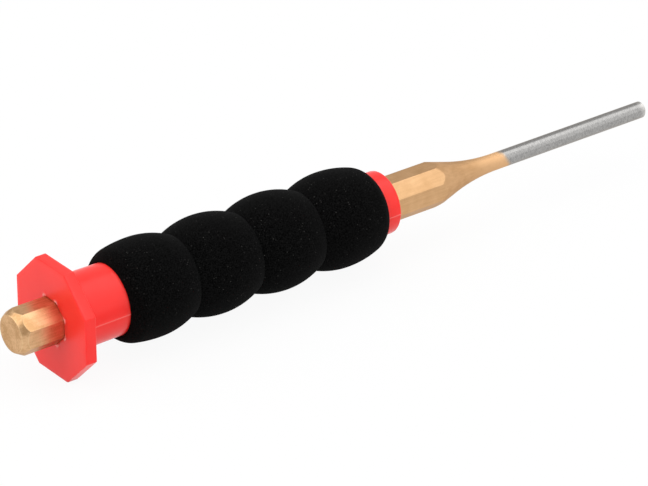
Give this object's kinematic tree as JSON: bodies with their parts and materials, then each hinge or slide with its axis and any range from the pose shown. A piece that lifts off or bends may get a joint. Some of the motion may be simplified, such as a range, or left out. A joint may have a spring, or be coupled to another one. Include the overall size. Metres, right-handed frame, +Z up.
{
  "type": "pin punch",
  "caption": "Pin punch for driving out pins: an octagonal steel shank with a slim parallel pin, in a moulded octagonal hand guard with a lobed foam grip.",
  "frame": {"origin": "on the ground under the middle of the punch's length, where the flange's lowest flat rests", "axes": "+X along the punch from its struck face to its tip, +Z up out of the flange's lowest flat, +Y to the side"},
  "size_m": [0.216, 0.0316, 0.0315],
  "materials": {
    "lacquered_steel": "clear gold lacquer over ground steel, with the pin left as bare ground steel",
    "red_plastic": "smooth moulded red plastic, satin gloss, very slightly translucent",
    "black_foam": "matt black closed-cell foam rubber with a fine cell texture"
  },
  "bodies": {
    "root": {"punch": "lacquered_steel", "guard_sleeve": "red_plastic", "foam_grip": "black_foam"}
  },
  "joints": []
}
